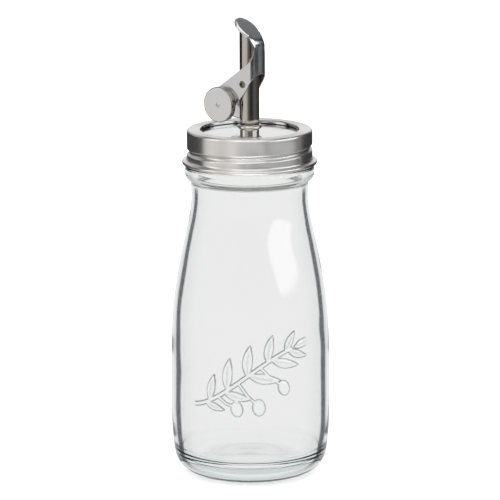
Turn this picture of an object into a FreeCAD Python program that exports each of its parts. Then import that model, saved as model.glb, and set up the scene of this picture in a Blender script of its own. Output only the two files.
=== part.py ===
import FreeCAD, Part
import math
import os

os.makedirs("parts", exist_ok=True)

V = FreeCAD.Vector

# Table oil bottle with a gravity flap pourer.  Millimetres.
# Frame: origin at the middle of the standing ring, +Z up, oil pours towards -X,
# the flap turns about a line along Y.

# ---------------------------------------------------------------- dimensions
# glass
body_r = 35.56            # straight part of the body
body_z0, body_z1 = 28.0, 54.0
wall = 2.56               # body wall
heel_r = 11.8             # outside rounding of the heel
stand_r = 22.6            # outer edge of the flat standing ring
stand_w = 2.2             # width of the flat standing ring
push_up = 3.4             # height of the hollow under the base
floor_z = 9.5             # inside floor at the middle
neck_r = 26.15            # narrowest outside radius under the bead
neck_z = 126.0
bead_r = 28.95            # transfer bead under the ring
finish_r = 26.1           # root of the glass thread
finish_crest_r = 27.2     # crest of the glass thread
bore_r = 22.7             # mouth of the bottle
rim_z = 154.88            # sealing face
# screw thread
pitch = 4.233             # six turns to the inch
front_deg = -53.0         # side of the ring where the thread heights are given
# ring
ring_top_z = 156.9
ring_r = 28.05
ring_t = 0.45
ring_open_r = 22.0
curl_r = 0.92             # rolled lower edge
curl_c = 29.28
curl_z = 142.15
groove_z = ring_top_z - 9.1
groove_rad = 1.31         # rounding of the rolled thread, outside
groove_c = 28.21
thread_above_groove = 2.1
# lid disc and its gasket
disc_top_z = 155.2
disc_t = 0.5
disc_rim_z = 156.42
disc_rim_r = 26.4
gasket_r0, gasket_r1 = 23.8, 27.1
gasket_z0, gasket_z1 = 154.90, 155.90
vent_r = 0.75
vent_y = -12.2
# spout
tube_r, tube_bore = 4.4, 3.9
tube_foot_z = 157.7
ferrule_neck_r, ferrule_bore = 4.3, 3.6
ferrule_bead_r = 5.55
ferrule_bead_z0, ferrule_bead_z1 = 157.0, 158.9
tail_r, tail_t = 5.2, 0.6
# flap
pivot_z = 177.5
stud_r = 1.6
stud_hole_r = 1.3         # drilled end of a stud
pivot_clear = 0.05
sheet = 0.6
arm_y = 5.4               # outside of the arms
hood_x = 5.6              # outside of the hood's back
hood_corner = 2.0
hood_half = 3.75          # half width of the hood's neck
bend_r = 7.8
slope = 38.0              # plate and mouth, degrees from level
plate_z0 = 24.6           # plate's upper face over the tube's axis, above the pivot
plate_skirt = 1.3
mouth_gap = 0.06
# counterweights
weight_r, weight_t, weight_edge = 8.0, 3.0, 0.55
weight_x, weight_z = -11.4, -9.9      # from the pivot
pad_r = 7.1
rivet_r = 1.1


# ---------------------------------------------------------------- helpers
def edges_from(start, segs):
    """Edges in the X-Z plane from a list of lines, arcs and smooth runs."""
    cur = V(start[0], 0, start[1])
    out = []
    for s in segs:
        if s[0] == "L":
            nxt = V(s[1][0], 0, s[1][1])
            if (nxt - cur).Length > 1e-7:
                out.append(Part.makeLine(cur, nxt))
        elif s[0] == "A":
            mid = V(s[1][0], 0, s[1][1])
            nxt = V(s[2][0], 0, s[2][1])
            out.append(Part.Arc(cur, mid, nxt).toShape())
        else:
            pts = [cur] + [V(p[0], 0, p[1]) for p in s[1]]
            c = Part.BSplineCurve()
            c.interpolate(Points=pts,
                          InitialTangent=V(s[2][0], 0, s[2][1]),
                          FinalTangent=V(s[3][0], 0, s[3][1]))
            out.append(c.toShape())
            nxt = pts[-1]
        cur = nxt
    first = V(start[0], 0, start[1])
    if (cur - first).Length > 1e-7:
        out.append(Part.makeLine(cur, first))
    return out


def face_from(start, segs):
    return Part.Face(Part.Wire(edges_from(start, segs)))


def turned(start, segs):
    """Solid of revolution about Z."""
    return face_from(start, segs).revolve(V(0, 0, 0), V(0, 0, 1), 360)


def polar(c, r, deg):
    return (c[0] + r * math.cos(math.radians(deg)), c[1] + r * math.sin(math.radians(deg)))


def dome(r0, z_top, r_edge, z_edge):
    """Height at r0 of a spherical cap centred on the axis."""
    h = z_top - z_edge
    big = (r_edge ** 2 + h ** 2) / (2 * h)
    return z_top - (big - math.sqrt(big ** 2 - r0 ** 2))


def swept_thread(segs_start, segs, r, z_front, deg0, deg1):
    """A profile (in the X-Z plane, z = 0 at its middle) run along the thread's helix."""
    height = pitch * (deg1 - deg0) / 360.0
    path = Part.Wire(Part.makeHelix(pitch, height, r).Edges)
    prof = Part.Wire(edges_from(segs_start, segs))
    solid = path.makePipeShell([prof], True, True)
    solid.rotate(V(0, 0, 0), V(0, 0, 1), deg0)
    solid.translate(V(0, 0, z_front + pitch * (deg0 - front_deg) / 360.0))
    return solid


def prism_y(wire_pts, y0, y1):
    """Closed X-Z outline pushed along Y."""
    pts = [V(x, y0, z) for x, z in wire_pts]
    pts.append(pts[0])
    return Part.Face(Part.makePolygon(pts)).extrude(V(0, y1 - y0, 0))


def rod_y(x, z, r, y0, y1):
    return Part.makeCylinder(r, y1 - y0, V(x, y0, z), V(0, 1, 0))


def save(shape, name):
    shape = shape.removeSplitter() if len(shape.Solids) == 1 else shape
    print(name, "valid", shape.isValid(), "solids", len(shape.Solids),
          "volume %.2f" % shape.Volume)
    shape.exportStep(os.path.join("parts", name + ".step"))
    return shape


# ---------------------------------------------------------------- glass bottle
heel_c = (stand_r, heel_r)
a_end = math.degrees(math.asin((10.0 - heel_r) / heel_r))
heel_mid = polar(heel_c, heel_r, (-90.0 + a_end) / 2)
heel_end = polar(heel_c, heel_r, a_end)
heel_tan = (-math.sin(math.radians(a_end)), math.cos(math.radians(a_end)))
in_r = body_r - wall
flat_r = stand_r - stand_w
glass = turned((0, push_up), [
    ("A", (10.0, dome(10.0, push_up, 18.6, 1.35)), (18.6, 1.35)),
    ("A", (19.6, 0.62), (flat_r, 0.0)),
    ("L", (stand_r, 0.0)),
    ("A", heel_mid, heel_end),
    ("S", [(34.77, 14.0), (35.18, 18.0), (35.43, 22.5), (body_r, body_z0)], heel_tan, (0, 1)),
    ("L", (body_r, body_z1)),
    ("S", [(35.43, 62.0), (35.03, 70.0), (34.36, 78.0), (33.33, 86.0), (31.97, 94.0),
           (30.42, 102.0), (28.67, 110.0), (27.02, 118.0), (neck_r, neck_z)], (0, 1), (0, 1)),
    ("L", (neck_r + 0.15, 132.6)),
    ("A", (26.62, 133.6), (27.35, 134.35)),
    ("A", (28.52, 135.5), (bead_r, 137.2)),
    ("L", (bead_r, 138.9)),
    ("A", (28.55, 140.05), (27.5, 140.5)),
    ("L", (finish_r, 140.5)),
    ("L", (finish_r, rim_z - 0.95)),
    ("A", (finish_r - 0.28, rim_z - 0.28), (finish_r - 0.95, rim_z)),
    ("L", (bore_r + 0.9, rim_z)),
    ("A", (bore_r + 0.26, rim_z - 0.26), (bore_r, rim_z - 0.9)),
    ("L", (bore_r, 142.0)),
    ("S", [(bore_r + 0.45, 137.0), (23.58, neck_z)], (0, -1), (0, -1)),
    ("S", [(24.42, 118.0), (26.06, 110.0), (27.82, 102.0), (29.38, 94.0), (30.76, 86.0),
           (31.79, 78.0), (32.46, 70.0), (32.87, 62.0), (in_r, body_z1)], (0, -1), (0, -1)),
    ("L", (in_r, body_z0)),
    ("S", [(32.8, 21.0), (32.2, 15.4)], (0, -1), (-0.1, -1)),
    ("A", polar((24.8, 15.4), 7.4, -45.0), (24.8, 8.0)),
    ("A", (12.5, dome(12.5, floor_z, 24.8, 8.0)), (0.0, floor_z)),
])
# raised thread, a little over one turn
glass_thread = swept_thread((25.8, -0.95), [("L", (finish_crest_r, -0.3)), ("L", (finish_crest_r, 0.3)),
                                            ("L", (25.8, 0.95))],
                            finish_r, groove_z + thread_above_groove, front_deg - 205, front_deg + 195)
glass = glass.fuse(glass_thread)
save(glass, "glass_bottle")

# ---------------------------------------------------------------- screw ring
ri = ring_r - ring_t
ring = turned((ring_open_r + ring_t, ring_top_z - 0.9), [
    ("A", (ring_open_r + 0.22, ring_top_z - 1.08), (ring_open_r, ring_top_z - 0.9)),
    ("L", (ring_open_r, ring_top_z - 0.6)),
    ("A", (ring_open_r + 0.18, ring_top_z - 0.18), (ring_open_r + 0.6, ring_top_z)),
    ("L", (ring_r - 1.3, ring_top_z)),
    ("A", (ring_r - 0.38, ring_top_z - 0.38), (ring_r, ring_top_z - 1.3)),
    ("L", (ring_r, curl_z + 2.15)),
    ("A", (ring_r + 0.15, curl_z + 1.25), (curl_c - 0.48, curl_z + 0.45)),
    ("L", (curl_c - 0.83, curl_z - 0.15)),
    ("A", (ri + 0.2, curl_z + 0.6), (ri, curl_z + 1.75)),
    ("L", (ri, ring_top_z - 1.3)),
    ("A", (ri - 0.25, ring_top_z - 0.7), (ri - 0.85, ring_top_z - ring_t)),
    ("L", (ring_open_r + 0.75, ring_top_z - ring_t)),
    ("A", (ring_open_r + 0.54, ring_top_z - 0.54), (ring_open_r + ring_t, ring_top_z - 0.75)),
])
curl = Part.makeTorus(curl_c, curl_r, V(0, 0, curl_z), V(0, 0, 1))
ring = ring.fuse(curl)
# rolled thread: a rounded groove outside, the matching ridge inside
rr = groove_rad + ring_t
ridge_edge = 27.82
hw = math.sqrt(rr ** 2 - (groove_c - ridge_edge) ** 2)
ridge = swept_thread((ridge_edge, -hw), [("A", (groove_c - rr, 0.0), (ridge_edge, hw))],
                     ring_r, groove_z, front_deg - 186, front_deg + 186)
edge = groove_c + 0.6
gw = math.sqrt(groove_rad ** 2 - (groove_c - edge) ** 2)
groove = swept_thread((edge, -gw), [("A", (groove_c - groove_rad, 0.0), (edge, gw))],
                      ring_r, groove_z, front_deg - 184, front_deg + 184)
ring = ring.fuse(ridge).cut(groove)
save(ring, "screw_ring")

# ---------------------------------------------------------------- lid disc
zt, zb = disc_top_z, disc_top_z - disc_t
disc = turned((ferrule_neck_r, zb), [
    ("L", (21.5, zb)),
    ("A", (22.42, zb + 0.24), (22.95, zb + 0.72)),
    ("A", (23.25, zb + 1.06), (23.75, disc_rim_z - disc_t)),
    ("L", (disc_rim_r, disc_rim_z - disc_t)),
    ("L", (disc_rim_r, disc_rim_z)),
    ("L", (23.55, disc_rim_z)),
    ("A", (23.0, disc_rim_z - 0.18), (22.62, disc_rim_z - 0.56)),
    ("A", (22.15, zt + 0.15), (21.4, zt)),
    ("L", (ferrule_neck_r, zt)),
])
disc = disc.cut(Part.makeCylinder(vent_r, 4, V(0, vent_y, zb - 2), V(0, 0, 1)))
save(disc, "lid_disc")

gasket = turned((gasket_r0, gasket_z0 + 0.2), [
    ("A", (gasket_r0 + 0.06, gasket_z0 + 0.06), (gasket_r0 + 0.2, gasket_z0)),
    ("L", (gasket_r1 - 0.2, gasket_z0)),
    ("A", (gasket_r1 - 0.06, gasket_z0 + 0.06), (gasket_r1, gasket_z0 + 0.2)),
    ("L", (gasket_r1, gasket_z1)),
    ("L", (gasket_r0, gasket_z1)),
])
save(gasket, "lid_gasket")

# ---------------------------------------------------------------- spout
fb0, fb1 = ferrule_bead_z0, ferrule_bead_z1
ferrule = turned((ferrule_bore, zb - tail_t), [
    ("L", (tail_r - 0.25, zb - tail_t)),
    ("A", (tail_r, zb - tail_t / 2), (tail_r - 0.25, zb)),
    ("L", (ferrule_neck_r, zb)),
    ("L", (ferrule_neck_r, fb0 - 0.35)),
    ("A", (ferrule_neck_r + 0.12, fb0 - 0.1), (ferrule_neck_r + 0.4, fb0)),
    ("A", (ferrule_bead_r, (fb0 + fb1) / 2), (ferrule_neck_r + 0.4, fb1)),
    ("L", (tube_r, fb1)),
    ("L", (tube_r, tube_foot_z)),
    ("L", (ferrule_bore, tube_foot_z)),
])
save(ferrule, "spout_ferrule")

sb, cb, tb = (math.sin(math.radians(slope)), math.cos(math.radians(slope)),
              math.tan(math.radians(slope)))
mouth_z = pivot_z + plate_z0 - (sheet + mouth_gap) / cb     # on the axis
tube = Part.makeCylinder(tube_r, 60, V(0, 0, tube_foot_z))
tube = tube.cut(Part.makeCylinder(tube_bore, 60, V(0, 0, tube_foot_z)))
# slanted mouth, with the low lip eased where the hood bends over it
tube = tube.common(prism_y([(-8, 150), (8, 150), (8, mouth_z - 8 * tb), (-8, mouth_z + 8 * tb)], -6, 6))
lx0, lz0, lx1, lz1 = 4.5, pivot_z + 18.7, 2.5, pivot_z + 21.55
k = (lz1 - lz0) / (lx1 - lx0)
tube = tube.common(prism_y([(-9, 150), (9, 150), (9, lz0 + k * (9 - lx0)), (-9, lz0 + k * (-9 - lx0))], -6, 6))
for y0, y1 in ((-6, -2), (2, 6)):
    tube = tube.cut(rod_y(0, pivot_z, stud_r, y0, y1))
save(tube, "spout_tube")

# two studs brazed into the tube's sides, drilled out at their ends
studs = []
for sgn in (-1, 1):
    ya, yb = sorted((sgn * 3.0, sgn * arm_y))
    st = rod_y(0, pivot_z, stud_r, ya, yb)
    st = st.cut(Part.makeCylinder(tube_bore, 20, V(0, 0, pivot_z - 10)))
    ya, yb = sorted((sgn * (arm_y - 0.9), sgn * (arm_y + 1)))
    st = st.cut(rod_y(0, pivot_z, stud_hole_r, ya, yb))
    studs.append(st)
save(Part.makeCompound(studs), "pivot_studs")

# ---------------------------------------------------------------- flap
P = lambda x, z: (x, pivot_z + z)

# the bent strip seen from above: two arms and a back with rounded corners
def u_strip(z0, z1):
    yo, xo, rc = arm_y, hood_x, hood_corner
    yi, xi, rk = arm_y - sheet, hood_x - sheet, hood_corner - sheet
    q = math.sqrt(0.5)
    xl = -22.0
    w = Part.Wire([
        Part.makeLine(V(xl, -yo, 0), V(xo - rc, -yo, 0)),
        Part.Arc(V(xo - rc, -yo, 0), V(xo - rc + rc * q, -yo + rc - rc * q, 0), V(xo, -yo + rc, 0)).toShape(),
        Part.makeLine(V(xo, -yo + rc, 0), V(xo, yo - rc, 0)),
        Part.Arc(V(xo, yo - rc, 0), V(xo - rc + rc * q, yo - rc + rc * q, 0), V(xo - rc, yo, 0)).toShape(),
        Part.makeLine(V(xo - rc, yo, 0), V(xl, yo, 0)),
        Part.makeLine(V(xl, yo, 0), V(xl, yi, 0)),
        Part.makeLine(V(xl, yi, 0), V(xi - rk, yi, 0)),
        Part.Arc(V(xi - rk, yi, 0), V(xi - rk + rk * q, yi - rk + rk * q, 0), V(xi, yi - rk, 0)).toShape(),
        Part.makeLine(V(xi, yi - rk, 0), V(xi, -yi + rk, 0)),
        Part.Arc(V(xi, -yi + rk, 0), V(xi - rk + rk * q, -yi + rk - rk * q, 0), V(xi - rk, -yi, 0)).toShape(),
        Part.makeLine(V(xi - rk, -yi, 0), V(xl, -yi, 0)),
        Part.makeLine(V(xl, -yi, 0), V(xl, -yo, 0)),
    ])
    f = Part.Face(w)
    f.translate(V(0, 0, z0))
    return f.extrude(V(0, 0, z1 - z0))


strip = u_strip(pivot_z - 19, pivot_z + plate_z0 - hood_x * tb - bend_r * math.tan(math.radians((90 - slope) / 2)))
# side outline of an arm
arm_up = lambda x: 7.31 + 0.731 * x
arm_poly = [P(5.75, arm_up(5.75)), P(-15.55, arm_up(-15.55)), P(weight_x, weight_z), P(-5.6, -11.9),
            P(-3.4, -9.2), P(1.3, -3.35), P(3.4, 0.0), P(4.6, 2.0), P(5.75, 3.4)]
side = prism_y(arm_poly, -7, 7).fuse(rod_y(weight_x, pivot_z + weight_z, pad_r, -7, 7))
outer = Part.makeBox(40, 20, 60, V(-25, -23.9, pivot_z - 25)).fuse(
    Part.makeBox(40, 20, 60, V(-25, 3.9, pivot_z - 25)))
arms = strip.common(side).common(outer)
for sgn in (-1, 1):
    ya, yb = sorted((sgn * 3, sgn * 7))
    arms = arms.cut(rod_y(0, pivot_z, stud_r + pivot_clear, ya, yb))
    arms = arms.cut(rod_y(weight_x, pivot_z + weight_z, rivet_r, ya, yb))
# the hood seen from behind: narrow above, spreading into the arms, arched below
zh = pivot_z
top_z = 25.0
hw_pts = [
    Part.Arc(V(0, -arm_y - 0.1, zh + 2.85), V(0, 0, zh + 4.55), V(0, arm_y + 0.1, zh + 2.85)).toShape(),
    Part.makeLine(V(0, arm_y + 0.1, zh + 2.85), V(0, arm_y + 0.1, zh + 9.95)),
    Part.Arc(V(0, arm_y + 0.1, zh + 9.95), V(0, 4.75, zh + 11.85), V(0, hood_half, zh + 16.0)).toShape(),
    Part.makeLine(V(0, hood_half, zh + 16.0), V(0, hood_half, zh + top_z)),
    Part.makeLine(V(0, hood_half, zh + top_z), V(0, -hood_half, zh + top_z)),
    Part.makeLine(V(0, -hood_half, zh + top_z), V(0, -hood_half, zh + 16.0)),
    Part.Arc(V(0, -hood_half, zh + 16.0), V(0, -4.75, zh + 11.85), V(0, -arm_y - 0.1, zh + 9.95)).toShape(),
    Part.makeLine(V(0, -arm_y - 0.1, zh + 9.95), V(0, -arm_y - 0.1, zh + 2.85)),
]
back = Part.Face(Part.Wire(hw_pts))
back.translate(V(3.55, 0, 0))
back = back.extrude(V(3, 0, 0))
hood = strip.common(back)

# bend and plate, drawn in the plane of symmetry
es, en = V(-cb, 0, sb), V(sb, 0, cb)         # up the slope, out of the plate
o = V(0, 0, pivot_z + plate_z0)              # upper face over the tube's axis
tl = bend_r * math.tan(math.radians((90 - slope) / 2))
corner = V(hood_x, 0, pivot_z + plate_z0 - hood_x * tb)
t1 = corner - V(0, 0, tl)
t2 = corner + es * tl
bc = V(hood_x - bend_r, 0, t1.z)
ri_b = bend_r - sheet
mid_dir = (V(1, 0, 0) + en)
mid_dir.normalize()
bend_face = Part.Face(Part.Wire([
    Part.Arc(t1, bc + mid_dir * bend_r, t2).toShape(),
    Part.makeLine(t2, t2 - en * sheet),
    Part.Arc(t2 - en * sheet, bc + mid_dir * ri_b, bc + V(ri_b, 0, 0)).toShape(),
    Part.makeLine(bc + V(ri_b, 0, 0), t1),
]))
# it narrows from the plate down to the neck
bend_half = 4.8
bend_face.translate(V(0, -bend_half, 0))
bend = bend_face.extrude(V(0, 2 * bend_half, 0))
taper = Part.Face(Part.makePolygon([
    V(0, -hood_half, t1.z - 1), V(0, hood_half, t1.z - 1), V(0, hood_half, t1.z), V(0, bend_half, t2.z),
    V(0, bend_half, t2.z + 2), V(0, -bend_half, t2.z + 2), V(0, -bend_half, t2.z), V(0, -hood_half, t1.z),
    V(0, -hood_half, t1.z - 1)]))
bend = bend.common(taper.extrude(V(9, 0, 0)))

s_back = (t2 - o).dot(es)
half = [(7.8, 0.0), (7.5, 1.5), (6.65, 2.95), (5.3, 4.28), (3.8, 5.2), (2.2, 5.68), (0.4, 5.72),
        (-1.5, 5.4), (s_back, bend_half)]


def plate_wire(inset, tail):
    pts = []
    n = len(half)
    for i in range(n):
        a = half[max(i - 1, 0)]
        b = half[min(i + 1, n - 1)]
        if i == 0:
            nx, ny = 1.0, 0.0
        else:
            dx, dy = b[0] - a[0], b[1] - a[1]
            ln = math.hypot(dx, dy)
            nx, ny = dy / ln, -dx / ln
            if ny < 0:
                nx, ny = -nx, -ny
        pts.append((half[i][0] - nx * inset, half[i][1] - ny * inset))
    if tail:
        pts[-1] = (pts[-1][0] - tail, pts[-1][1] - 0.35 * tail)
    full = [(s, -w) for s, w in reversed(pts[1:])] + pts
    p3 = [o + es * s + V(0, y, 0) for s, y in full]
    c = Part.BSplineCurve()
    c.interpolate(Points=p3)
    return Part.Wire([c.toShape(), Part.makeLine(p3[-1], p3[0])])


plate = Part.Face(plate_wire(0.0, 0.0)).extrude(en * -plate_skirt)
rim = [e for e in plate.Edges if e.Length > 15 and
       abs((e.valueAt((e.FirstParameter + e.LastParameter) / 2) - o).dot(en)) < 0.01]
plate = plate.makeFillet(1.0, rim)
cavity = Part.Face(plate_wire(sheet, 1.2))
cavity.translate(en * -sheet)
plate = plate.cut(cavity.extrude(en * -3))
flap = hood.fuse([arms, bend, plate])
save(flap, "flap_lever")

# ---------------------------------------------------------------- counterweights
for name, sgn in (("counterweight_near", -1), ("counterweight_far", 1)):
    ya, yb = sorted((sgn * arm_y, sgn * (arm_y + weight_t)))
    w = rod_y(weight_x, pivot_z + weight_z, weight_r, ya, yb)
    w = w.makeFillet(weight_edge, [e for e in w.Edges if e.Length > 40 and len(e.Vertexes) == 1])
    w = w.cut(rod_y(weight_x, pivot_z + weight_z, rivet_r, ya - 1, yb + 1))
    save(w, name)

rivets = []
for sgn in (-1, 1):
    ya, yb = sorted((sgn * (arm_y - sheet), sgn * (arm_y + weight_t)))
    r = rod_y(weight_x, pivot_z + weight_z, rivet_r, ya, yb)
    ya, yb = sorted((sgn * (arm_y - sheet - 0.5), sgn * (arm_y - sheet)))
    r = r.fuse(rod_y(weight_x, pivot_z + weight_z, 1.9, ya, yb))
    # low dome closed over the outer face
    dome = Part.makeSphere(3.1, V(weight_x, sgn * (arm_y + weight_t - 2.9 + 0.02), pivot_z + weight_z))
    dome = dome.common(rod_y(weight_x, pivot_z + weight_z, rivet_r,
                             *sorted((sgn * (arm_y + weight_t - 0.5), sgn * (arm_y + weight_t + 2)))))
    r = r.fuse(dome).removeSplitter()
    rivets.append(r)
save(Part.makeCompound(rivets), "counterweight_rivets")
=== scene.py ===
import math

import bmesh
import bpy
import numpy as np
from mathutils import Matrix, Vector


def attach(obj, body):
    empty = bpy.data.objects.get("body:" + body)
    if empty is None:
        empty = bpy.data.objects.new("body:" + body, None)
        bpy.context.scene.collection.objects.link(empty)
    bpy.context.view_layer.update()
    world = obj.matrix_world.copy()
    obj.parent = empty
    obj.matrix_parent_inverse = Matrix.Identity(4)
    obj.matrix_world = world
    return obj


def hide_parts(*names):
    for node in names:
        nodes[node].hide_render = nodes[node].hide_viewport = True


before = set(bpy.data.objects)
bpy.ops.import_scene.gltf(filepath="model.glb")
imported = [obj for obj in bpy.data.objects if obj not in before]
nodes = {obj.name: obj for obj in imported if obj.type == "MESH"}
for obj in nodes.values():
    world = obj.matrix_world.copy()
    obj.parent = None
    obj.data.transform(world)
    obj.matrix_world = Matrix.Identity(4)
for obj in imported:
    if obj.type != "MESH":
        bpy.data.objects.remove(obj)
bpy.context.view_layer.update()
scene = bpy.context.scene

# Table oil bottle with a gravity flap pourer.  Shapes are worked out in
# millimetres in the shared frame and stored in metres.
MM = 0.001
FRONT = math.radians(-53.0)        # side of the bottle that carries the ornament
pi, tau = math.pi, 2 * math.pi


# ------------------------------------------------------------------ curves
def arc3(p0, pm, p1, n):
    """n points after p0 on the circle through three points."""
    ax, ay = p0
    bx, by = pm
    cx, cy = p1
    d = 2 * (ax * (by - cy) + bx * (cy - ay) + cx * (ay - by))
    ux = ((ax * ax + ay * ay) * (by - cy) + (bx * bx + by * by) * (cy - ay) + (cx * cx + cy * cy) * (ay - by)) / d
    uy = ((ax * ax + ay * ay) * (cx - bx) + (bx * bx + by * by) * (ax - cx) + (cx * cx + cy * cy) * (bx - ax)) / d
    r = math.hypot(ax - ux, ay - uy)
    a0, am, a1 = (math.atan2(p[1] - uy, p[0] - ux) for p in (p0, pm, p1))
    up = (a1 - a0) % tau
    if (am - a0) % tau > up:
        up -= tau
    return [(ux + r * math.cos(a0 + up * k / n), uy + r * math.sin(a0 + up * k / n)) for k in range(1, n + 1)]


def line(p0, p1, n):
    return [(p0[0] + (p1[0] - p0[0]) * k / n, p0[1] + (p1[1] - p0[1]) * k / n) for k in range(1, n + 1)]


def spline(pts, t0, t1, n):
    """n points after the first on a smooth run through pts with the end directions given."""
    p = np.array(pts, float)
    h = np.hypot(*np.diff(p, axis=0).T)
    m = len(p)
    a = np.zeros((m, m))
    b = np.zeros((m, 2))
    t0, t1 = np.array(t0, float), np.array(t1, float)
    a[0, 0] = a[-1, -1] = 1
    b[0], b[-1] = t0 / np.linalg.norm(t0), t1 / np.linalg.norm(t1)
    for i in range(1, m - 1):
        a[i, i - 1], a[i, i], a[i, i + 1] = h[i], 2 * (h[i - 1] + h[i]), h[i - 1]
        b[i] = 3 * (h[i - 1] * (p[i + 1] - p[i]) / h[i] + h[i] * (p[i] - p[i - 1]) / h[i - 1])
    d = np.linalg.solve(a, b)
    s = np.concatenate([[0], np.cumsum(h)])
    out = []
    for q in np.linspace(0, s[-1], n + 1)[1:]:
        i = min(int(np.searchsorted(s, q, side="right")) - 1, m - 2)
        t = (q - s[i]) / h[i]
        v = ((2 * t ** 3 - 3 * t ** 2 + 1) * p[i] + (t ** 3 - 2 * t ** 2 + t) * h[i] * d[i]
             + (-2 * t ** 3 + 3 * t ** 2) * p[i + 1] + (t ** 3 - t ** 2) * h[i] * d[i + 1])
        out.append((float(v[0]), float(v[1])))
    return out


def smooth01(x):
    x = np.clip(x, 0.0, 1.0)
    return x * x * (3 - 2 * x)


# ------------------------------------------------------------------ meshes
def make(name, verts, faces, sharp=40.0):
    """A shaded mesh object from millimetre points, faces turned outwards."""
    me = bpy.data.meshes.new(name)
    me.from_pydata([tuple(v) for v in np.asarray(verts, float) * MM], [], [tuple(f) for f in faces])
    bm = bmesh.new()
    bm.from_mesh(me)
    bmesh.ops.recalc_face_normals(bm, faces=bm.faces)
    lim = math.radians(sharp)
    for f in bm.faces:
        f.smooth = True
    for e in bm.edges:
        e.smooth = not (len(e.link_faces) == 2 and e.calc_face_angle(0.0) > lim)
    bm.to_mesh(me)
    bm.free()
    me.update()
    ob = bpy.data.objects.new(name, me)
    scene.collection.objects.link(ob)
    return ob


def lathe(rows, cols, shift=None):
    """Points and quads of a turned shape.  rows are (r, z); a closed loop of rows
    makes a ring, and a first or last row on the axis closes with a fan."""
    verts, faces, index = [], [], []
    n = len(cols)
    for k, (r, z) in enumerate(rows):
        if r < 1e-6:
            index.append([len(verts)] * n)
            verts.append((0.0, 0.0, z))
            continue
        index.append(list(range(len(verts), len(verts) + n)))
        for a in cols:
            rr, zz = (r, z) if shift is None else shift(k, a, r, z)
            verts.append((rr * math.cos(a), rr * math.sin(a), zz))
    return verts, index


def skin(index, closed):
    faces = []
    m = len(index)
    for k in range(m if closed else m - 1):
        a, b = index[k], index[(k + 1) % m]
        n = len(a)
        for j in range(n):
            i = (j + 1) % n
            q = [a[j], a[i], b[i], b[j]]
            q = [v for t, v in enumerate(q) if v not in q[:t]]
            if len(q) > 2:
                faces.append(q)
    return faces


def turned(name, rows, n=144, closed=True, axis=None, sharp=40.0):
    """Turned piece; axis = (x, z, sign) lays it along Y instead of Z."""
    verts, index = lathe(rows, np.linspace(0, tau, n, endpoint=False))
    if axis is not None:
        x0, z0, sg = axis
        verts = [(x0 + x, sg * z, z0 + y) for x, y, z in verts]
    return make(name, verts, skin(index, closed), sharp)


# ------------------------------------------------------------------ nodes
class Tree:
    """Short notation for shader nodes."""

    def __init__(self, nt):
        self.nt = nt
        nt.nodes.clear()

    def add(self, kind, **kw):
        n = self.nt.nodes.new(kind)
        for k, v in kw.items():
            setattr(n, k, v)
        return n

    def put(self, value, socket):
        if hasattr(value, "is_output"):
            self.nt.links.new(value, socket)
        else:
            socket.default_value = value

    def math(self, op, a, b=None, c=None, clamp=False):
        n = self.add("ShaderNodeMath", operation=op, use_clamp=clamp)
        for v, s in zip((a, b, c), n.inputs):
            if v is not None:
                self.put(v, s)
        return n.outputs[0]

    def vec(self, x, y, z):
        n = self.add("ShaderNodeCombineXYZ")
        for v, s in zip((x, y, z), n.inputs):
            self.put(v, s)
        return n.outputs[0]

    def split(self, v):
        n = self.add("ShaderNodeSeparateXYZ")
        self.put(v, n.inputs[0])
        return n.outputs

    def noise(self, vec, scale, detail=4.0, rough=0.55, dist=0.0):
        n = self.add("ShaderNodeTexNoise")
        self.put(vec, n.inputs["Vector"])
        n.inputs["Scale"].default_value = scale
        n.inputs["Detail"].default_value = detail
        n.inputs["Roughness"].default_value = rough
        n.inputs["Distortion"].default_value = dist
        return n.outputs["Fac"]

    def ramp(self, fac, stops, interp="LINEAR"):
        n = self.add("ShaderNodeValToRGB")
        n.color_ramp.interpolation = interp
        el = n.color_ramp.elements
        while len(el) < len(stops):
            el.new(0.5)
        for e, (p, c) in zip(el, stops):
            e.position = p
            e.color = (*c, 1.0) if len(c) == 3 else c
        self.put(fac, n.inputs["Fac"])
        return n.outputs["Color"]

    def remap(self, v, a, b, c, d, smooth=True):
        n = self.add("ShaderNodeMapRange", interpolation_type="SMOOTHSTEP" if smooth else "LINEAR")
        self.put(v, n.inputs["Value"])
        for s, x in zip(("From Min", "From Max", "To Min", "To Max"), (a, b, c, d)):
            n.inputs[s].default_value = x
        return n.outputs["Result"]

    def bump(self, height, strength, dist, normal=None):
        n = self.add("ShaderNodeBump")
        n.inputs["Strength"].default_value = strength
        n.inputs["Distance"].default_value = dist
        self.put(height, n.inputs["Height"])
        if normal is not None:
            self.put(normal, n.inputs["Normal"])
        return n.outputs["Normal"]


def material(name):
    m = bpy.data.materials.new(name)
    m.use_nodes = True
    t = Tree(m.node_tree)
    out = t.add("ShaderNodeOutputMaterial")
    p = t.add("ShaderNodeBsdfPrincipled")
    t.nt.links.new(p.outputs[0], out.inputs["Surface"])
    return m, t, p, out


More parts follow.
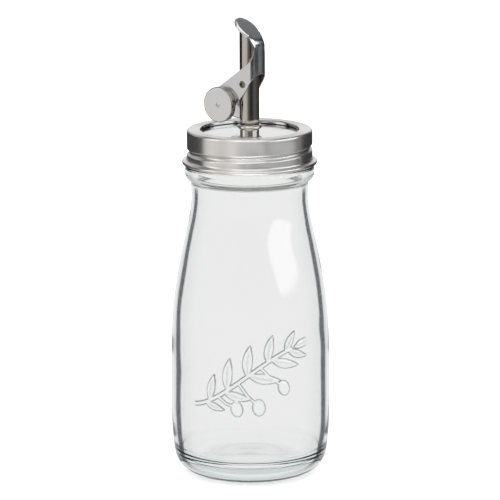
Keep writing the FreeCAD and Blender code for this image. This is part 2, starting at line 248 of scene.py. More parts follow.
def steel(name, dark, light, rough, grain, smudge=0.05, bump=0.06, bump_dist=0.00001, aniso=0.0, tangent=None, edge=0.0):
    """Stainless steel.  grain picks how the fine polishing lines run."""
    m, t, p, out = material(name)
    tc = t.add("ShaderNodeTexCoord").outputs["Object"]
    x, y, z = t.split(tc)
    if grain in ("round", "concentric"):
        r = t.math("SQRT", t.math("ADD", t.math("MULTIPLY", x, x), t.math("MULTIPLY", y, y)))
        safe = t.math("MAXIMUM", r, 1e-5)
        cx, cy = t.math("DIVIDE", x, safe), t.math("DIVIDE", y, safe)
        along = z if grain == "round" else r
        lines = t.vec(t.math("MULTIPLY", cx, 1.6), t.math("MULTIPLY", cy, 1.6), t.math("MULTIPLY", along, 5200.0))
    elif grain == "upright":
        lines = t.vec(t.math("MULTIPLY", x, 4200.0), t.math("MULTIPLY", y, 4200.0), t.math("MULTIPLY", z, 60.0))
    elif grain == "face":
        # turned flat face about the counterweight's own centre
        dx = t.math("SUBTRACT", x, -0.0114)
        dz = t.math("SUBTRACT", z, 0.1676)
        r = t.math("SQRT", t.math("ADD", t.math("MULTIPLY", dx, dx), t.math("MULTIPLY", dz, dz)))
        safe = t.math("MAXIMUM", r, 1e-5)
        lines = t.vec(t.math("MULTIPLY", t.math("DIVIDE", dx, safe), 1.2),
                      t.math("MULTIPLY", t.math("DIVIDE", dz, safe), 1.2), t.math("MULTIPLY", r, 5200.0))
    else:
        lines = t.vec(t.math("MULTIPLY", x, 1500.0), t.math("MULTIPLY", y, 1500.0), t.math("MULTIPLY", z, 1500.0))
    fine = t.noise(lines, 1.0, 3.0, 0.6)
    blot = t.noise(tc, 140.0, 3.0, 0.55, 0.4)
    tone = t.ramp(fine, [(0.25, dark), (0.75, light)])
    if grain == "face":
        # painted shade: the rim and its fillet are darkened in the base colour, standing in for dark reflections and
        # the thin dark outline round the face
        mx = t.add("ShaderNodeMix", data_type="RGBA")
        t.put(t.remap(r, 0.0074, 0.0078, 0.0, 1.0), mx.inputs["Factor"])
        t.put(tone, mx.inputs[6])
        mx.inputs[7].default_value = (0.27, 0.25, 0.225, 1.0)
        tone = mx.outputs[2]
    t.put(tone, p.inputs["Base Color"])
    p.inputs["Metallic"].default_value = 1.0
    ro = t.math("ADD", t.remap(blot, 0.35, 0.7, rough - smudge * 0.5, rough + smudge),
                t.remap(fine, 0.3, 0.7, -0.012, 0.012, False), clamp=True)
    t.put(ro, p.inputs["Roughness"])
    soft_edge = None
    if edge:
        b = t.add("ShaderNodeBevel", samples=6)
        b.inputs["Radius"].default_value = edge
        soft_edge = b.outputs[0]
    t.put(t.bump(fine, bump, bump_dist, soft_edge), p.inputs["Normal"])
    if aniso:
        p.inputs["Anisotropic"].default_value = aniso
        p.inputs["Anisotropic Rotation"].default_value = 0.25
        tan = t.add("ShaderNodeTangent", direction_type="RADIAL", axis=tangent or "Z")
        t.put(tan.outputs[0], p.inputs["Tangent"])
    return m


def dress(ob, mat):
    ob.data.materials.clear()
    ob.data.materials.append(mat)


# ------------------------------------------------------------------ materials
glass_mat, gt, gp, gout = material("clear_glass")
gp.inputs["Roughness"].default_value = 0.0
gp.inputs["IOR"].default_value = 1.517
gp.inputs["Transmission Weight"].default_value = 1.0
# painted shade: the outer skin's colour is darkened in a band where it turns away from view, and along the relief's
# steep slopes, standing in for the dark refraction edges
gtc = gt.add("ShaderNodeTexCoord").outputs["Object"]
g_lw = gt.add("ShaderNodeLayerWeight")
g_lw.inputs["Blend"].default_value = 0.5
g_out = gt.add("ShaderNodeAttribute", attribute_name="outer_skin").outputs["Fac"]
g_rel = gt.add("ShaderNodeAttribute", attribute_name="relief_painted_shade").outputs["Fac"]
g_wob = gt.math("MULTIPLY", gt.math("SUBTRACT", gt.noise(gtc, 38.0, 2.0), 0.5), 0.10)
g_face = gt.math("ADD", g_lw.outputs["Facing"], g_wob)
g_band = gt.math("MULTIPLY", gt.remap(g_face, 0.525, 0.575, 0.0, 1.0), gt.remap(g_face, 0.655, 0.715, 1.0, 0.0))
g_soft = gt.math("MULTIPLY", gt.remap(g_face, 0.25, 0.60, 0.0, 0.12), gt.remap(g_face, 0.70, 0.80, 1.0, 0.0))
g_dark = gt.math("MAXIMUM", gt.math("MULTIPLY", gt.math("MAXIMUM", g_band, g_soft), g_out), gt.math("MULTIPLY", g_rel, 0.97))
# the painted shade is mostly left off light already inside the wall
g_back = gt.add("ShaderNodeNewGeometry").outputs["Backfacing"]
g_dark = gt.math("MULTIPLY", g_dark, gt.math("SUBTRACT", 1.0, gt.math("MULTIPLY", g_back, 0.85)))
gt.put(gt.ramp(g_dark, [(0.0, (0.945, 0.944, 0.943)), (0.5, (0.32, 0.33, 0.335)), (1.0, (0.027, 0.029, 0.031))]), gp.inputs["Base Color"])
absorb = gt.add("ShaderNodeVolumeAbsorption")
absorb.inputs["Color"].default_value = (0.80, 0.90, 0.89, 1.0)
absorb.inputs["Density"].default_value = 11.0
gt.nt.links.new(absorb.outputs[0], gout.inputs["Volume"])

ring_mat = steel("ring_steel", (0.66, 0.648, 0.632), (0.70, 0.687, 0.670), 0.31, "round", 0.03, 0.05, 0.00001, 0.80)
lid_mat = steel("lid_steel", (0.72, 0.72, 0.725), (0.76, 0.76, 0.76), 0.11, "concentric", 0.03, 0.05)
hem_mat = steel("hem_steel", (0.54, 0.535, 0.53), (0.59, 0.585, 0.58), 0.07, "round", 0.02, 0.05)
tube_mat = steel("polished_steel", (0.50, 0.468, 0.425), (0.55, 0.515, 0.47), 0.075, "upright", 0.03, 0.05, edge=0.0002)
# painted shade: the pivot studs are coloured dark brown, standing in for the shade inside the pivot holes
stud_shade_mat = steel("stud_painted_shade", (0.20, 0.17, 0.145), (0.27, 0.235, 0.20), 0.26, "tumbled", 0.05, 0.05)
# painted shade: cut edges coloured near black so they catch no highlight
cut_edge_shade_mat = steel("cut_edge_painted_shade", (0.16, 0.155, 0.15), (0.22, 0.215, 0.21), 0.35, "tumbled", 0.05, 0.05)
flap_mat = steel("flap_steel", (0.625, 0.628, 0.638), (0.665, 0.668, 0.675), 0.16, "tumbled", 0.05, 0.05, edge=0.00022)
rivet_mat = steel("rivet_steel", (0.56, 0.56, 0.57), (0.61, 0.61, 0.615), 0.42, "tumbled", 0.05, 0.05)
weight_mat = steel("weight_steel", (0.67, 0.672, 0.683), (0.70, 0.702, 0.709), 0.17, "face", 0.04, 0.05, edge=0.0002)

gasket_mat, kt, kp, _ = material("gasket_silicone")
ktc = kt.add("ShaderNodeTexCoord").outputs["Object"]
kn = kt.noise(ktc, 900.0, 4.0)
kt.put(kt.ramp(kn, [(0.3, (0.80, 0.80, 0.77)), (0.7, (0.88, 0.88, 0.86))]), kp.inputs["Base Color"])
kp.inputs["Roughness"].default_value = 0.62
kt.put(kt.bump(kn, 0.2, 0.00005), kp.inputs["Normal"])


# ------------------------------------------------------------------ ornament
def sprig(x, y):
    """Relief height in mm of a moulded olive sprig, x to the right and y up from its middle."""
    x, y = (x - 0.6) / 1.2, (y + 1.2) / 1.2
    h = np.zeros_like(x)

    def lift(v):
        np.maximum(h, v, out=h)

    stem = []
    b = [(-22.5, -12.5), (-11.0, -11.0), (3.0, 6.5), (17.0, 9.5)]
    for t in np.linspace(0, 1, 160):
        w = ((1 - t) ** 3, 3 * t * (1 - t) ** 2, 3 * t * t * (1 - t), t ** 3)
        stem.append((sum(a * p[0] for a, p in zip(w, b)), sum(a * p[1] for a, p in zip(w, b))))
    stem = np.array(stem)
    head = np.gradient(stem, axis=0)
    head = np.degrees(np.arctan2(head[:, 1], head[:, 0]))

    def leaf(px, py, deg, length, width, curl, height=0.55):
        c, s = math.cos(math.radians(deg)), math.sin(math.radians(deg))
        u = ((x - px) * c + (y - py) * s) / length
        v = -(x - px) * s + (y - py) * c
        v = v - curl * length * u * (1 - u)
        uu = np.clip(u, 0, 1)
        w = width * np.power(np.clip(np.sin(pi * np.power(uu, 0.86)), 0, 1), 0.8)
        q = np.where(w > 1e-4, v / np.maximum(w, 1e-4), 9.0)
        body = np.power(np.clip(1 - q * q, 0, 1), 0.62)
        body = np.where((u > 0) & (u < 1), body, 0)
        vein = 1 - 0.42 * np.exp(-(v / 0.28) ** 2) * smooth01((1 - uu) * 3)
        lift(height * body * vein)

    def olive(px, py, deg, a, bb):
        c, s = math.cos(math.radians(deg)), math.sin(math.radians(deg))
        u = ((x - px) * c + (y - py) * s) / a
        v = (-(x - px) * s + (y - py) * c) / bb
        lift(0.72 * np.power(np.clip(1 - u * u - v * v, 0, 1), 0.6))

    def twig(points, rad, height):
        pts = np.array(points, float)
        for p, q in zip(pts[:-1], pts[1:]):
            d = q - p
            t = np.clip(((x - p[0]) * d[0] + (y - p[1]) * d[1]) / (d @ d), 0, 1)
            dist = np.hypot(x - p[0] - t * d[0], y - p[1] - t * d[1])
            lift(height * np.power(np.clip(1 - (dist / rad) ** 2, 0, 1), 0.6))

    twig(stem[::8], 0.85, 0.5)
    for t, side, ang, ln, wd, cu in (
            (0.17, 1, 52, 10.5, 1.75, 0.10), (0.13, -1, 40, 8.2, 1.5, -0.10),
            (0.36, 1, 50, 12.5, 2.0, 0.12), (0.33, -1, 47, 10.5, 1.8, -0.12),
            (0.55, 1, 48, 12.0, 2.0, 0.12), (0.56, -1, 46, 12.5, 2.0, -0.12),
            (0.73, 1, 46, 10.5, 1.85, 0.12), (0.77, -1, 44, 11.5, 1.9, -0.12),
            (0.90, 1, 38, 8.6, 1.6, 0.10), (0.93, -1, 40, 9.0, 1.6, -0.10),
            (0.99, 1, 2, 9.0, 1.7, 0.04)):
        i = int(t * 159)
        leaf(stem[i, 0], stem[i, 1], head[i] + side * ang, ln, wd, cu)
    for (px, py), (qx, qy), deg, a, bb in (
            (stem[42], (-5.6, -13.0), -78, 3.1, 2.35), (stem[74], (2.6, -12.4), -84, 3.3, 2.5),
            (stem[106], (12.2, -5.4), -70, 3.1, 2.35)):
        d = np.array((qx - px, qy - py))
        d /= np.linalg.norm(d)
        twig([(px, py), ((px + qx) / 2 + d[1] * 0.5, (py + qy) / 2 - d[0] * 0.5), (qx - d[0] * 2.6, qy - d[1] * 2.6)],
             0.6, 0.38)
        olive(qx, qy, deg, a, bb)
    return h


# ------------------------------------------------------------------ glass
R, RI = 35.56, 33.0
PITCH, GROOVE_Z = 4.233, 147.8
ORN_Z, ORN_HALF = 53.5, 21.1


def dome(r0, top, r_edge, z_edge):
    h = top - z_edge
    big = (r_edge ** 2 + h ** 2) / (2 * h)
    return top - (big - math.sqrt(big ** 2 - r0 ** 2))


def glass_rows():
    """(r, z, kind) from the middle of the underside, up the outside, down the inside."""
    rows = []

    def add(pts, kind):
        rows.extend((r, z, kind) for r, z in pts)

    add([(0.0, 1.3)], "out")
    add([(r, 0.65 + 0.65 * math.cos(pi * r / 20.6)) for r in np.linspace(1.8, 20.3, 22)], "out")
    add([(20.75, 0.0)], "out")
    add(line((20.75, 0.0), (22.6, 0.0), 2), "out")
    a_end = math.asin((10.0 - 11.8) / 11.8)
    hc = (22.6, 11.8)
    add([(hc[0] + 11.8 * math.cos(a), hc[1] + 11.8 * math.sin(a)) for a in np.linspace(-pi / 2, a_end, 27)[1:]], "out")
    end = rows[-1][:2]
    add(spline([end, (34.77, 14.0), (35.18, 18.0), (35.43, 22.5), (R, 28.0)],
               (-math.sin(a_end), math.cos(a_end)), (0, 1), 12), "out")
    z0, z1 = ORN_Z - ORN_HALF, ORN_Z + ORN_HALF
    add(line((R, 28.0), (R, z0), 2), "out")
    up = [(R, 54.0), (35.43, 62.0), (35.03, 70.0), (34.36, 78.0), (33.33, 86.0), (31.97, 94.0),
          (30.42, 102.0), (28.67, 110.0), (27.02, 118.0), (26.15, 126.0)]
    fine = [(R, 54.0)] + spline(up, (0, 1), (0, 1), 600)
    fz = np.array([p[1] for p in fine])
    fr = np.array([p[0] for p in fine])
    for z in np.arange(z0 + 0.3, z1, 0.3):
        rows.append((R if z <= 54 else float(np.interp(z, fz, fr)), float(z), "orn"))
    for z in np.linspace(z1 + 0.2, 126.0, 40):
        rows.append((float(np.interp(z, fz, fr)), float(z), "out"))
    add(line((26.15, 126.0), (26.30, 132.6), 4), "out")
    add(arc3((26.30, 132.6), (26.62, 133.6), (27.35, 134.35), 7), "out")
    add(arc3((27.35, 134.35), (28.52, 135.5), (28.95, 137.2), 9), "out")
    add(line((28.95, 137.2), (28.95, 138.9), 3), "out")
    add(arc3((28.95, 138.9), (28.55, 140.05), (27.5, 140.5), 7), "out")
    add([(27.05, 140.5)], "out")
    add(arc3((26.9, 140.5), (26.33, 140.73), (26.1, 141.3), 5), "out")
    add([(26.1, z) for z in np.arange(141.6, 153.75, 0.27)], "thread")
    add([(26.1, 153.93)], "out")
    add(arc3((26.1, 153.93), (25.82, 154.6), (25.15, 154.88), 6), "out")
    add(line((25.15, 154.88), (23.6, 154.88), 2), "out")
    add(arc3((23.6, 154.88), (22.96, 154.62), (22.7, 153.98), 6), "in")
    add(line((22.7, 153.98), (22.7, 142.0), 8), "in")
    add(spline([(22.7, 142.0), (23.15, 137.0), (23.58, 126.0)], (0, -1), (0, -1), 12), "in")
    add(spline([(23.58, 126.0), (24.42, 118.0), (26.06, 110.0), (27.82, 102.0), (29.38, 94.0), (30.76, 86.0),
                (31.79, 78.0), (32.46, 70.0), (32.87, 62.0), (33.0, 54.0)], (0, -1), (0, -1), 46), "in")
    add(line((33.0, 54.0), (33.0, 28.0), 14), "in")
    add(spline([(33.0, 28.0), (32.8, 21.0), (32.2, 15.4)], (0, -1), (-0.1, -1), 9), "in")
    add(arc3((32.2, 15.4), (24.8 + 7.4 * math.cos(-pi / 4), 15.4 + 7.4 * math.sin(-pi / 4)), (24.8, 8.0), 14), "in")
    add([(r, dome(r, 9.5, 24.8, 8.0)) for r in np.linspace(23.4, 1.8, 13)], "in")
    add([(0.0, 9.5)], "in")
    return rows


def build_glass():
    rows = glass_rows()
    coarse = [FRONT + tau * k / 144 for k in range(144)]
    half = math.radians(42.5)
    dense = sorted(set(np.round(np.concatenate([
        [a for a in (((c - FRONT + pi) % tau) - pi for c in coarse) if abs(a) > half],
        np.linspace(-half, half, 184)]), 9)))
    dense = [FRONT + a for a in dense]
    coarse = sorted(((c - FRONT + pi) % tau) - pi for c in coarse)
    coarse = [FRONT + a for a in coarse]
    cd, cc = np.array(dense), np.array(coarse)
    verts, index, angles = [], [], []
    skin_w, relief_shade_w = [], []
    for r, z, kind in rows:
        if r < 1e-6:
            index.append([len(verts)])
            angles.append(np.array([0.0]))
            verts.append((0.0, 0.0, z))
            skin_w.append(0.0)
            relief_shade_w.append(0.0)
            continue
        ang = cd if kind == "orn" else cc
        rr = np.full(len(ang), r)
        steep = np.zeros(len(ang))
        if kind == "orn":
            x = R * (ang - FRONT)
            yy = np.full(len(ang), z - ORN_Z)
            rr = rr + sprig(x, yy) * (np.abs(ang - FRONT) < half)
            # steep relief slopes get painted shade: a dark line in the glass colour along each moulded stroke
            e = 0.16
            slope = np.hypot(sprig(x + e, yy) - sprig(x - e, yy), sprig(x, yy + e) - sprig(x, yy - e)) / (2 * e)
            steep = smooth01((slope - 0.22) / 0.55) * (np.abs(ang - FRONT) < half)
        elif kind == "thread":
            for turn in (-1, 0, 1):
                deg = np.degrees(ang) + 360.0 * turn
                zc = GROOVE_Z + 2.1 + PITCH * (deg + 53.0) / 360.0
                d = np.abs(z - zc)
                lift = 1.1 * smooth01((0.95 - d) / 0.65)
                rr = np.maximum(rr, r + lift * smooth01((deg + 258.0) / 14.0) * smooth01((142.0 - deg) / 14.0))
        elif kind == "in":
            # hand of the mould: the inside of pressed glass is never quite even
            f = smooth01((z - 12.0) / 14.0) * smooth01((128.0 - z) / 20.0)
            rr = rr + f * (0.10 * np.sin(3 * ang + 0.045 * z + 0.6) * math.sin(0.071 * z + 1.1)
                           + 0.07 * np.sin(5 * ang - 0.06 * z + 2.0) * math.sin(0.11 * z)
                           + 0.05 * np.sin(2 * ang + 1.0) * math.sin(0.21 * z + 0.4))
        index.append(list(range(len(verts), len(verts) + len(ang))))
        angles.append(ang)
        w = 0.0 if kind == "in" else float(smooth01((z - 4.0) / 6.0))
        skin_w.extend([w * (1.0 - 0.85 * float(smooth01((z - 130.0) / 3.0)))] * len(ang))
        relief_shade_w.extend(steep.tolist())
        verts.extend(zip(rr * np.cos(ang), rr * np.sin(ang), np.full(len(ang), z)))
    faces = []
    for k in range(len(rows) - 1):
        a, b, ta, tb = index[k], index[k + 1], angles[k], angles[k + 1]
        if len(a) == 1 or len(b) == 1:
            pole, loop = (a[0], b) if len(a) == 1 else (b[0], a)
            for j in range(len(loop)):
                faces.append((pole, loop[j], loop[(j + 1) % len(loop)]))
        elif len(a) == len(b):
            n = len(a)
            for j in range(n):
                i = (j + 1) % n
                faces.append((a[j], a[i], b[i], b[j]))
        else:
            # two loops with different spacing, zipped together
            ea, eb = np.append(ta, ta[0] + tau), np.append(tb, tb[0] + tau)
            i = j = 0
            na, nb = len(a), len(b)
            while i < na or j < nb:
                if j >= nb or (i < na and ea[i + 1] <= eb[j + 1]):
                    faces.append((a[i % na], a[(i + 1) % na], b[j % nb]))
                    i += 1
                else:
                    faces.append((a[i % na], b[(j + 1) % nb], b[j % nb]))
                    j += 1
    ob = make("glass_body", verts, faces, 60.0)
    for nm, vals in (("outer_skin", skin_w), ("relief_painted_shade", relief_shade_w)):
        ob.data.attributes.new(nm, "FLOAT", "POINT").data.foreach_set("value", vals)
    dress(ob, glass_mat)
    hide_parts("glass_bottle")
    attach(ob, "bottle")
    return ob


glass = build_glass()


# ------------------------------------------------------------------ ring
def build_ring():
    top, ro, t, op = 156.9, 28.05, 0.45, 22.0
    ri = ro - t
    cz, cc, cr = 142.15, 29.28, 0.92
    outer = [(op + t, top - 1.05)]
    outer += arc3(outer[-1], (op + 0.2, top - 1.31), (op, top - 1.40), 6)
    outer += line(outer[-1], (op, top - 0.6), 3)
    outer += arc3(outer[-1], (op + 0.18, top - 0.18), (op + 0.6, top), 6)
    outer += line(outer[-1], (ro - 1.3, top), 8)
    outer += arc3(outer[-1], (ro - 0.38, top - 0.38), (ro, top - 1.3), 9)
    n_band0 = len(outer)
    outer += line(outer[-1], (ro, cz + 2.15), 56)
    n_band1 = len(outer)
    outer += arc3(outer[-1], (ro + 0.14, cz + 1.28), (cc - 0.50, cz + 0.772), 6)
    # rolled lower edge
    a0 = math.atan2(0.772, -0.50)
    for a in np.linspace(a0, a0 - 1.72 * pi, 26)[1:]:
        outer.append((cc + cr * math.cos(a), cz + cr * math.sin(a)))
    tail = outer[-1]
    inner = [(ri + 0.22, cz + 0.9)]
    inner += arc3(inner[-1], (ri + 0.05, cz + 1.3), (ri, cz + 1.9), 4)
    n_in0 = len(outer) + len(inner)
    inner += line(inner[-1], (ri, top - 1.3), 56)
    n_in1 = len(outer) + len(inner)
    inner += arc3(inner[-1], (ri - 0.25, top - 0.7), (ri - 0.85, top - t), 6)
    inner += line(inner[-1], (op + 0.75, top - t), 6)
    inner += arc3(inner[-1], (op + 0.54, top - 0.54), (op + t, top - 0.75), 4)
    rows = outer + inner
    lo, hi = math.degrees(FRONT) - 186.0, math.degrees(FRONT) + 186.0

    def shift(k, a, r, z):
        if not (n_band0 <= k < n_band1 or n_in0 <= k < n_in1):
            return r, z
        g = 0.0
        d0 = math.degrees(a)
        for deg in (d0 - 720, d0 - 360, d0, d0 + 360, d0 + 720):
            if lo <= deg <= hi:
                zc = GROOVE_Z + PITCH * (deg + 53.0) / 360.0
                d = abs(z - zc) / 1.62
                if d < 1:
                    v = 1.12 * (0.5 + 0.5 * math.cos(pi * d)) ** 0.9
                    v *= float(smooth01((deg - lo) / 24.0) * smooth01((hi - deg) / 24.0))
                    g = max(g, v)
        # the helical groove is pressed inward through both walls of the band
        return r - g, z

    n = 288
    verts, index = lathe(rows, np.linspace(0, tau, n, endpoint=False), shift)
    ob = make("screw_ring_sheet", verts, skin(index, True), 50.0)
    dress(ob, ring_mat)
    ob.data.materials.append(hem_mat)
    for f in ob.data.polygons:
        c = f.center / MM
        if math.hypot(c.x, c.y) < op + 0.5 and c.z < top - 0.12:
            f.material_index = 1      # the hem keeps its rolled brightness
    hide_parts("screw_ring")
    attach(ob, "ring")
    return ob


ring = build_ring()


# ------------------------------------------------------------------ flap
def build_flap():
    """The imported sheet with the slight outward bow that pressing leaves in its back."""
    me = nodes["flap_lever"].data.copy()
    me.name = "flap_sheet"
    bm = bmesh.new()
    bm.from_mesh(me)
    bmesh.ops.remove_doubles(bm, verts=bm.verts, dist=2e-6)
    bmesh.ops.dissolve_limit(bm, angle_limit=math.radians(0.3), verts=bm.verts, edges=bm.edges)
    for y in np.linspace(-4.6, 4.6, 24):
        bmesh.ops.bisect_plane(bm, geom=bm.verts[:] + bm.edges[:] + bm.faces[:], dist=1e-7,
                               plane_co=(0, y * MM, 0), plane_no=(0, 1, 0))
    for z in np.linspace(181.0, 200.0, 20):
        bmesh.ops.bisect_plane(bm, geom=bm.verts[:] + bm.edges[:] + bm.faces[:], dist=1e-7,
                               plane_co=(0, 0, z * MM), plane_no=(0, 0, 1))
    for v in bm.verts:
        x, y, z = v.co / MM
        if x > 2.6 and z < 201.0:
            w = max(0.0, 1 - (y / 4.9) ** 2) * float(smooth01((201.0 - z) / 8.0)) * float(smooth01((x - 2.6) / 2.1))
            v.co.x += 0.38 * w * MM
        if x > 2.7 and 194.2 < z < 200.6:
            wide = 3.75 + 1.05 * min(max((z - 193.9) / 6.2, 0.0), 1.0)
            roll = float(smooth01((abs(y) - wide + 1.2) / 1.2)) ** 2 * float(smooth01((z - 194.2) / 3.5))
            out = Vector((x + 2.2, 0.0, z - 193.9)).normalized()
            v.co -= out * (0.5 * roll * MM)
    bmesh.ops.triangulate(bm, faces=[f for f in bm.faces if len(f.verts) > 4])
    bmesh.ops.recalc_face_normals(bm, faces=bm.faces)
    lim = math.radians(32.0)
    for f in bm.faces:
        f.smooth = True
    for e in bm.edges:
        e.smooth = not (len(e.link_faces) == 2 and e.calc_face_angle(0.0) > lim)
    me.materials.clear()
    me.materials.append(flap_mat)
    me.materials.append(cut_edge_shade_mat)
    # sheared edges of the neck and the side edges of the bend: rougher cut steel, with painted shade: their colour is
    # darkened far below the faces so they catch no highlight
    for f in bm.faces:
        c, n = f.calc_center_median() / MM, f.normal
        if c.x > 3.45 and 186.4 < c.z < 194.2 and abs(n.x) < 0.5 and (abs(c.y) < 4.5 or n.z > 0.08):
            f.material_index = 1
        if c.x > 2.9 and 193.6 < c.z < 199.6 and abs(n.y) > 0.8:
            f.material_index = 1
    bm.to_mesh(me)
    bm.free()
    if "custom_normal" in me.attributes:
        me.attributes.remove(me.attributes["custom_normal"])
    ob = bpy.data.objects.new("flap_sheet", me)
    scene.collection.objects.link(ob)
    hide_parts("flap_lever")
    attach(ob, "flap")
    return ob


flap = build_flap()

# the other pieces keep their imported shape
for n in ("lid_disc",):
    dress(nodes[n], lid_mat)
for n in ("spout_tube", "spout_ferrule"):
    dress(nodes[n], tube_mat)
dress(nodes["pivot_studs"], stud_shade_mat)
for n in ("counterweight_near", "counterweight_far"):
    dress(nodes[n], weight_mat)
dress(nodes["counterweight_rivets"], rivet_mat)
dress(nodes["lid_gasket"], gasket_mat)


# ------------------------------------------------------------------ studio
def floor_plane():
    s = 6.0
    me = bpy.data.meshes.new("floor")
    me.from_pydata([(-s, -s, 0), (s, -s, 0), (s, s, 0), (-s, s, 0)], [], [(0, 1, 2, 3)])
    ob = bpy.data.objects.new("floor", me)
    ob.location = (0, 0, -0.0003)
    scene.collection.objects.link(ob)
    m, t, p, _ = material("floor_paper")
    tc = t.add("ShaderNodeTexCoord").outputs["Object"]
    n = t.noise(tc, 60.0, 3.0)
    t.put(t.ramp(n, [(0.2, (0.93, 0.93, 0.93)), (0.8, (0.95, 0.95, 0.95))]), p.inputs["Base Color"])
    p.inputs["Roughness"].default_value = 0.9
    p.inputs["Specular IOR Level"].default_value = 0.0
    # seen through the glass the paper stays evenly lit
    o = next(k for k in t.nt.nodes if k.type == "OUTPUT_MATERIAL")
    em = t.add("ShaderNodeEmission")
    em.inputs["Color"].default_value = (0.97, 0.97, 0.97, 1)
    mx = t.add("ShaderNodeMixShader")
    t.put(t.add("ShaderNodeLightPath").outputs["Is Transmission Ray"], mx.inputs[0])
    t.nt.links.new(p.outputs[0], mx.inputs[1])
    t.nt.links.new(em.outputs[0], mx.inputs[2])
    t.nt.links.new(mx.outputs[0], o.inputs["Surface"])
    dress(ob, m)
    ob.visible_glossy = False
    return ob


floor_plane()

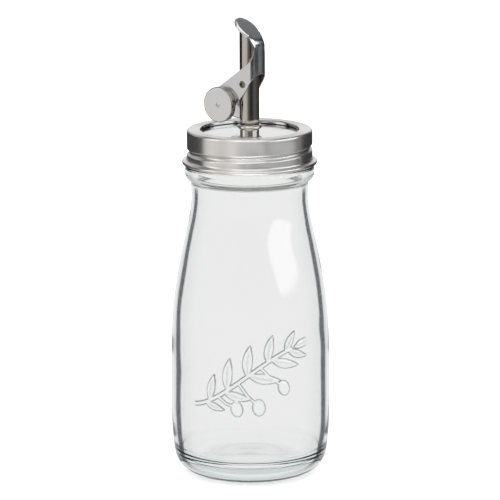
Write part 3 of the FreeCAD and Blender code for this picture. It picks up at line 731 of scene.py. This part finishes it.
def studio_world():
    """Soft studio: white all round for the paper, panels for the metal, and a
    darker upper half for what is seen through the glass."""
    w = bpy.data.worlds.new("studio")
    scene.world = w
    w.use_nodes = True
    w.cycles.sampling_method = "NONE"
    t = Tree(w.node_tree)
    out = t.add("ShaderNodeOutputWorld")
    d = t.add("ShaderNodeTexCoord").outputs["Generated"]
    x, y, z = t.split(d)
    # panels are placed round the object: azimuth from the photographer's side,
    # positive to the photographer's right
    ca, sa = math.cos(FRONT), math.sin(FRONT)
    toward = t.math("ADD", t.math("MULTIPLY", x, ca), t.math("MULTIPLY", y, sa))
    side = t.math("ADD", t.math("MULTIPLY", x, -sa), t.math("MULTIPLY", y, ca))
    az = t.math("MULTIPLY", t.math("ARCTAN2", side, toward), 180 / pi)
    el = t.math("MULTIPLY", t.math("ARCSINE", z), 180 / pi)

    def window(v, a, b, s0, s1=None):
        s1 = s0 if s1 is None else s1
        return t.math("MULTIPLY", t.remap(v, a - s0, a + s0, 0.0, 1.0), t.remap(v, b - s1, b + s1, 1.0, 0.0))

    def scaled(f, power, tint=(1, 1, 1)):
        n = t.add("ShaderNodeVectorMath", operation="SCALE")
        n.inputs[0].default_value = [c * power for c in tint]
        t.put(f, n.inputs["Scale"])
        return n.outputs[0]

    def panel(a0, a1, e0, e1, sa_, se_, power, tint=(1, 1, 1), sb_=None):
        return scaled(t.math("MULTIPLY", window(az, a0, a1, sa_, sb_), window(el, e0, e1, se_)), power, tint)

    def total_of(parts, ambient):
        total = None
        for q in parts:
            n = t.add("ShaderNodeVectorMath", operation="ADD")
            n.inputs[0].default_value = ambient
            if total is not None:
                t.put(total, n.inputs[0])
            t.put(q, n.inputs[1])
            total = n.outputs[0]
        return total

    absaz = t.math("ABSOLUTE", az)
    for_metal = total_of([
        panel(-400, 400, -95, -27, 5, 5, 0.60),                              # paper below
        panel(-40, 42, -95, -25, 10, 5, 1.75),
        panel(-28, 2, -27, 5, 8, 5, 0.12),
        panel(-94, -26, -27, 70, 6, 6, 0.79, (1.0, 0.975, 0.945), 15),       # large panel left
        panel(-88, -64, 6, 48, 6, 6, 0.9),                                   # its bright middle
        panel(-152, -110, 12, 42, 8, 6, 0.60),                               # white flat, back left
        panel(-34, 40, 15, 64, 12, 7, 1.42),                                 # over the camera
        panel(50, 92, 16, 40, 5, 4, 0.80),
        panel(38, 92, -1, 40, 5, 4, 1.45, (0.93, 0.97, 1.0)),                # window right
        panel(40, 92, -27, -2, 14, 6, 0.10),
        panel(90, 106, 13, 30, 3, 4, 2.3),                                    # slim card right
        panel(102, 110, -30, 2, 3, 4, 0.24),
        panel(116, 162, 27, 56, 8, 7, 0.19),
        panel(-400, 400, 63, 95, 10, 8, 1.15),                               # overhead
        scaled(t.math("MULTIPLY", t.remap(absaz, 146, 166, 0.0, 1.0), window(el, 1, 47, 5)), 0.92),   # white wall behind
    ], (0.042, 0.042, 0.044))
    # clear reflections, as on glass: dim room, pale wall behind, one window
    for_gloss = total_of([
        scaled(t.math("MULTIPLY", t.remap(absaz, 146, 156, 0.0, 1.0), window(el, -60, 4, 4)), 0.48),
        scaled(t.math("MULTIPLY", window(t.math("ADD", az, t.math("MULTIPLY", t.math("SUBTRACT", el, 9.5), 2.0)), 37, 74, 4), window(el, 3.4, 14.5, 1.8)), 2.7),
        panel(-400, 400, 60, 95, 10, 8, 0.5),
    ], (0.24, 0.245, 0.25))
    for_glass = t.remap(el, -3.0, 14.0, 0.97, 0.78)

    def background(colour, strength=1.0):
        b = t.add("ShaderNodeBackground")
        t.put(colour, b.inputs["Color"])
        b.inputs["Strength"].default_value = strength
        return b.outputs[0]

    def mix(f, a, b):
        m = t.add("ShaderNodeMixShader")
        t.put(f, m.inputs[0])
        t.nt.links.new(a, m.inputs[1])
        t.nt.links.new(b, m.inputs[2])
        return m.outputs[0]

    lp = t.add("ShaderNodeLightPath")
    white = background((1.0, 1.0, 1.0, 1.0), 1.6)
    soft = t.math("GREATER_THAN", lp.outputs["Diffuse Depth"], 0.5)
    sh = mix(lp.outputs["Is Singular Ray"], background(for_metal), background(for_gloss))
    sh = mix(lp.outputs["Is Transmission Ray"], sh, background(for_glass))
    sh = mix(soft, sh, white)
    sh = mix(lp.outputs["Is Camera Ray"], sh, white)
    t.nt.links.new(sh, out.inputs["Surface"])


studio_world()

# one wide soft lamp over the left shoulder, for the paper's own shading
lamp = bpy.data.lights.new("softbox", "AREA")
lamp.shape = "RECTANGLE"
lamp.size, lamp.size_y = 0.9, 0.9
lamp.energy = 1.2
lo = bpy.data.objects.new("softbox", lamp)
lo.location = (-0.35, -0.75, 1.25)
lo.rotation_euler = (Vector((0, 0, 0.05)) - Vector(lo.location)).to_track_quat("-Z", "Y").to_euler()
for k in ("camera", "glossy", "transmission"):
    setattr(lo, "visible_" + k, False)
scene.collection.objects.link(lo)
glass.visible_shadow = False

# ------------------------------------------------------------------ camera
cam = bpy.data.cameras.new("camera")
cam.sensor_width = 36.0
cam.lens = 331.2
cam.clip_start, cam.clip_end = 0.05, 50.0
co = bpy.data.objects.new("camera", cam)
phi, pit, dist = math.radians(37.0), math.radians(12.1), 2.0635
target = Vector((0.0, 0.0, 0.10145))
co.location = target + dist * Vector((math.sin(phi) * math.cos(pit), -math.cos(phi) * math.cos(pit), math.sin(pit)))
roll = Matrix.Rotation(math.radians(-0.2), 3, "Z").to_quaternion()
co.rotation_euler = ((target - co.location).to_track_quat("-Z", "Y") @ roll).to_euler()
scene.collection.objects.link(co)
scene.camera = co

scene.view_settings.view_transform = "Standard"
scene.view_settings.look = "None"
scene.cycles.max_bounces = 24
scene.cycles.transmission_bounces = 20
scene.cycles.glossy_bounces = 8
scene.cycles.sample_clamp_indirect = 6.0
scene.cycles.blur_glossy = 0.3

bpy.context.view_layer.update()
